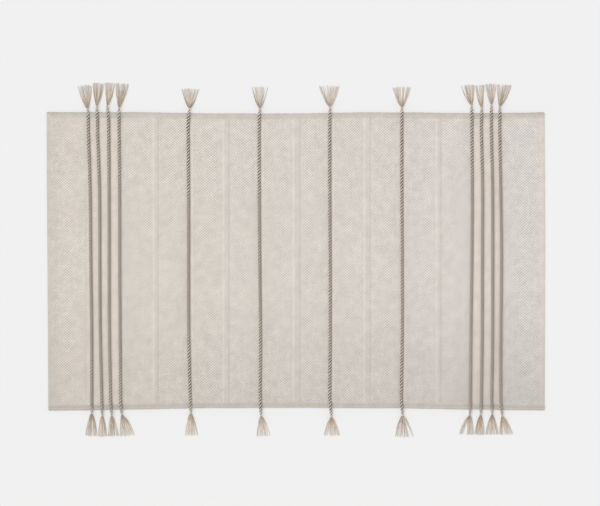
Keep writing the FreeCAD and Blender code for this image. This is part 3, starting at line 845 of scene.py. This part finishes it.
def cord_route(number):
    """The points that guide a cord, from its front core end over both hems to its rear one."""
    course = CORD_COURSES[number - 1]
    ends = {}
    for end, side in ENDS.items():
        tip = neck(number, end)
        inner = course[0] if side < 0 else course[-1]
        on_mat = np.array([
            (0.6 * tip.x + 0.4 * inner, side * (HALF_WIDTH - 0.001), ON_HEM),
            (0.2 * tip.x + 0.8 * inner, side * (HALF_WIDTH - 0.010), ON_HEM),
            (inner, side * (HALF_WIDTH - 0.021), ON_GROUND),
        ])
        core = (tip.x, tip.y - side * CORE_END, CORE_HEIGHT)
        ends[end] = [core, *wander(on_mat)]
    middle = [(x, y, ON_GROUND) for x, y in zip(course, COURSE_MARKS)]
    return ends["front"] + middle + ends["rear"][::-1]


def smooth_line(route, step):
    """Points, a step apart, along the smooth curve that a route guides."""
    curve = bpy.data.curves.new("route", "CURVE")
    curve.dimensions = "3D"
    spline = curve.splines.new("NURBS")
    spline.points.add(len(route) - 1)
    for point, place in zip(spline.points, route):
        point.co = (*place, 1)
    spline.order_u = 3
    spline.use_endpoint_u = True
    guide = bpy.data.objects.new("route", curve)
    mesh = bpy.data.meshes.new_from_object(guide)
    flat = np.empty(len(mesh.vertices) * 3)
    mesh.vertices.foreach_get("co", flat)
    line = flat.reshape(-1, 3)
    bpy.data.objects.remove(guide)
    bpy.data.curves.remove(curve)
    bpy.data.meshes.remove(mesh)
    run = np.concatenate([[0], np.cumsum(np.linalg.norm(np.diff(line, axis=0), axis=1))])
    even = np.linspace(0, run[-1], math.ceil(run[-1] / step) + 1)
    return np.column_stack([np.interp(even, run, line[:, axis]) for axis in range(3)]), even


def line_frame(line):
    """The sideways and the upward direction at each point of a line that lies flat."""
    tangent = np.gradient(line, axis=0)
    tangent /= np.linalg.norm(tangent, axis=1)[:, None]
    side = np.cross(tangent, (0, 0, 1))
    side /= np.linalg.norm(side, axis=1)[:, None]
    return side, np.cross(side, tangent)


def twisted_strands(number, line, run):
    """The strands of one cord, each a tube round the cord's line, the two colours in turn."""
    chance = np.random.default_rng(number)
    side, up = line_frame(line)
    from_end = np.minimum(run, run[-1] - run)
    drawn = CORE_SHARE + (1 - CORE_SHARE) * np.clip(from_end / DRAWN_IN - 0.6, 0, 1)
    start, *waves = chance.uniform(0, 2 * math.pi, 3)
    turn = 2 * math.pi * run / LAY + start
    turn += 0.35 * np.sin(run * 41 + waves[0]) + 0.25 * np.sin(run * 97 + waves[1])
    tubes = []
    for strand in range(STRANDS):
        angle = turn + 2 * math.pi * strand / STRANDS
        wobble = 1 + 0.07 * np.sin(run * 310 + strand * 1.7 + start)
        offset = (np.cos(angle)[:, None] * up + np.sin(angle)[:, None] * side) * TWIST_RADIUS
        tubes.append((line + offset * drawn[:, None], STRAND_RADIUS * drawn * wobble, strand % 2))
    return tubes


YARNS = 5                     # in each strand, twisted the other way, so that they run along the cord
YARN_TURNS = 110              # over the whole length of a strand
YARN_DEPTH = 0.0005

# Each strand: painted shade between its yarns, its colour on them, and the colour of its worn ends.
taupe_strand = make_yarn("taupe_strand", card(42, 33, 26), card(106, 92, 78),
                         YARNS, YARN_TURNS, YARN_DEPTH, card(188, 178, 165))
beige_strand = make_yarn("beige_strand", card(194, 181, 166), card(255, 247, 235),
                         YARNS, YARN_TURNS, YARN_DEPTH, card(226, 219, 208))
cord_lines = {}
for number in CORD_NUMBERS:
    line, run = smooth_line(cord_route(number), STEP)
    cord_lines[number] = line
    strands = twisted_strands(number, line, run)
    cord = tube_piece(f"cord_{number:02d}_strands", strands, [taupe_strand, beige_strand])
    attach(cord, "mat")
    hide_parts(f"cord_{number:02d}")


# ---------------------------------------------------------------- the cords' stitches
# Fine taupe thread that holds each cord down: a loop over the cord every four centimetres, pulled tight so
# that it sinks between the strands.

LOOP_PITCH = 0.040
LOOP_REACH = 0.269            # no loop is further from the middle than this
LOOP_THREAD = 0.0005
LOOP_RADIUS = CORD / 2 + LOOP_THREAD * 0.1
LOOP_TURN = np.linspace(-0.62, 0.62, 11) * math.pi    # from the cord's top, down to the cloth on both sides

# Painted shade between the thread's plies, and its colour on them.
loop_thread = make_yarn("tacking_cotton", card(130, 120, 108), card(176, 166, 153), plies=2, turns=14,
                        relief=0.0001)
for number, line in cord_lines.items():
    count = 2 * math.floor(LOOP_REACH / LOOP_PITCH) + 1
    loops = []
    for y in (np.arange(count) - (count - 1) / 2) * LOOP_PITCH:
        x = np.interp(y, line[:, 1], line[:, 0])
        loop = np.column_stack([
            x + LOOP_RADIUS * np.sin(LOOP_TURN),
            np.full_like(LOOP_TURN, y),
            ON_GROUND + LOOP_RADIUS * np.cos(LOOP_TURN),
        ])
        loops.append((loop, LOOP_THREAD / 2, 0))
    loops_piece = tube_piece(f"cord_{number:02d}_stitching", loops, [loop_thread])
    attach(loops_piece, "mat")
    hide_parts(f"cord_stitches_{number:02d}")


# ---------------------------------------------------------------- the bindings
# A few turns of pale thread wound tightly round each cord's drawn-in end, which keep the strands together
# where they come apart into a tassel.

BINDING_LENGTH = 0.003
BINDING_TURNS = 4
BINDING_THREAD = 0.0008
BINDING_RADIUS = 0.0019       # of the wound thread's middle line

# Painted shade between the thread's plies, and its colour on them.
binding_thread = make_yarn("winding_cotton", card(186, 173, 155), card(236, 228, 214), plies=2, turns=30,
                           relief=0.0001)
for end in ENDS:
    windings = []
    for number in CORD_NUMBERS:
        line = cord_lines[number] if end == "rear" else cord_lines[number][::-1]
        outward = line[-1] - line[-4]
        outward /= np.linalg.norm(outward)
        side = np.cross(outward, (0, 0, 1))
        side /= np.linalg.norm(side)
        up = np.cross(side, outward)
        share = np.linspace(0, 1, BINDING_TURNS * 10 + 1)
        angle = share * BINDING_TURNS * 2 * math.pi
        along = (share - 1) * (BINDING_LENGTH - BINDING_THREAD)
        winding = line[-1] + np.outer(along, outward)
        winding += BINDING_RADIUS * (np.outer(np.cos(angle), up) + np.outer(np.sin(angle), side))
        windings.append((winding, BINDING_THREAD / 2, 0))
    binding = tube_piece(f"{end}_bindings", windings, [binding_thread])
    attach(binding, "mat")
    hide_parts(f"bindings_{end}")


# ---------------------------------------------------------------- the tassels
# Beyond its binding each cord is unravelled into loose limp threads, which drop to the floor and fan out in
# clumps, each thread taupe or beige. They are darkest where they were twisted, and pale at their frayed tips.

THREADS = {"group": 96, "single": 60}
CLUMPS = {"group": 7, "single": 6}
BEIGE_SHARE = {"group": 0.5, "single": 0.8}
THREAD_POINTS = 10
TASSEL_START = 0.0022         # the threads begin this far inside the binding
DROP_LENGTH = 0.016           # from the neck to where the threads lie on the floor
THICKEST = 0.00042            # radius of a thread
THREAD_RELIEF = 0.0002
CLUMP_SPREAD = 0.11           # how far threads stray from their clump, of the tassel's half width
ROOT_RADIUS = 0.0014          # of the bundle where it leaves the binding
FAN = 0.62                    # below 1, the threads spread soonest near the root
WAVER = 0.0005
RAGGED = 0.09                 # how much shorter than the longest a thread may be
PILE = 0.0016                 # how high the threads lie on each other
GROUP_CORDS = {1, 2, 3, 4, 9, 10, 11, 12}
# Painted shade between a tassel thread's plies.
TASSEL_SHADE = (0.72, 0.70, 0.68, 1)


def make_tassel_yarn(name, root, body, tip):
    """Loose cotton yarn that changes colour from its root to its tip."""
    material, tree, shader = new_material(name, Roughness=0.9, Specular_IOR_Level=0.2,
                                          Sheen_Weight=0.25, Sheen_Roughness=0.5)
    coords = add_node(tree, "ShaderNodeTexCoord", {}).outputs
    yarn = add_group(tree, plied, {"Vector": coords["UV"], "Plies": 2, "Turns": 18})
    cotton = add_group(tree, melange, {"Vector": coords["Object"]})
    along = add_node(tree, "ShaderNodeSeparateXYZ", {"Vector": coords["UV"]}).outputs["X"]
    opened = add_node(tree, "ShaderNodeMapRange", {"Value": along, "From Min": 0.05, "From Max": 0.45})
    frayed = add_node(tree, "ShaderNodeMapRange", {"Value": along, "From Min": 0.55, "From Max": 1.0})
    colour = mix_colours(tree, opened.outputs["Result"], root, body)
    colour = mix_colours(tree, frayed.outputs["Result"], colour, tip)
    # Painted shade between the plies.
    shade = math_node(tree, "MULTIPLY", math_node(tree, "SUBTRACT", 1, yarn["Height"]), 0.4)
    colour = mix_colours(tree, shade, colour, TASSEL_SHADE, "MULTIPLY")
    colour = mix_colours(tree, cotton["Fibres"], colour, CLOUD_SHADE, "MULTIPLY")
    set_socket(tree, shader.inputs["Base Color"], colour)
    emboss(tree, shader, yarn["Height"], 0.6, THREAD_RELIEF)
    return material


def tassel_threads(number, end):
    """The threads of one tassel, each with its points, its radii and its colour's number."""
    side = ENDS[end]
    chance = np.random.default_rng(100 * number + side + 1)
    kind = "group" if number in GROUP_CORDS else "single"
    low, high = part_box(f"tassel_{end}_{number:02d}")
    root = neck(number, end)
    tip_y = low.y if side < 0 else high.y
    length = abs(tip_y - root.y)
    share = np.linspace(0, 1, THREAD_POINTS)
    distance = share * (length + TASSEL_START) - TASSEL_START
    out = np.clip(distance / length, 0, 1)
    fallen = eased(distance / DROP_LENGTH)
    radii = THICKEST * np.interp(share, [0, 0.12, 0.4, 0.85, 1], [0.6, 0.7, 1, 0.85, 0.5])
    clumps = np.linspace(-1, 1, CLUMPS[kind]) + chance.uniform(-0.1, 0.1, CLUMPS[kind])
    threads = []
    for place in range(THREADS[kind]):
        lean = clumps[place % CLUMPS[kind]] + chance.normal(0, CLUMP_SPREAD)
        lean = float(np.clip(lean, -1, 1))
        room = (root.x - low.x if lean < 0 else high.x - root.x) - THICKEST
        angle, off = chance.uniform(0, 2 * math.pi), ROOT_RADIUS * math.sqrt(chance.uniform())
        wave, pace = chance.uniform(0, 2 * math.pi), chance.uniform(0.8, 1.8)
        x = root.x + off * math.cos(angle) * (1 - out) + lean * room * out ** FAN
        x += WAVER * np.sin(2 * math.pi * pace * out + wave) * np.sin(math.pi * out)
        x = np.clip(x, low.x + THICKEST, high.x - THICKEST)
        short = 1 - chance.uniform(0, RAGGED) - RAGGED / 3 * lean ** 2
        y = root.y + side * np.where(distance > 0, distance * short, distance)
        lie = THICKEST + chance.uniform(0, PILE) * (1.3 - out)
        z = lie + (CORE_HEIGHT + off * math.sin(angle) - lie) * (1 - fallen)
        threads.append((np.column_stack([x, y, z]), radii, int(chance.uniform() < BEIGE_SHARE[kind])))
    return threads


taupe_thread = make_tassel_yarn("taupe_tassel_thread", card(162, 143, 125), card(184, 169, 151),
                                card(212, 204, 197))
beige_thread = make_tassel_yarn("beige_tassel_thread", card(196, 177, 157), card(232, 220, 204),
                                card(228, 222, 217))
for end, side in ENDS.items():
    for number in CORD_NUMBERS:
        name = f"tassel_{end}_{number:02d}"
        tassel = tube_piece(f"{name}_threads", tassel_threads(number, end), [taupe_thread, beige_thread])
        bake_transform(tassel)
        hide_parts(name)
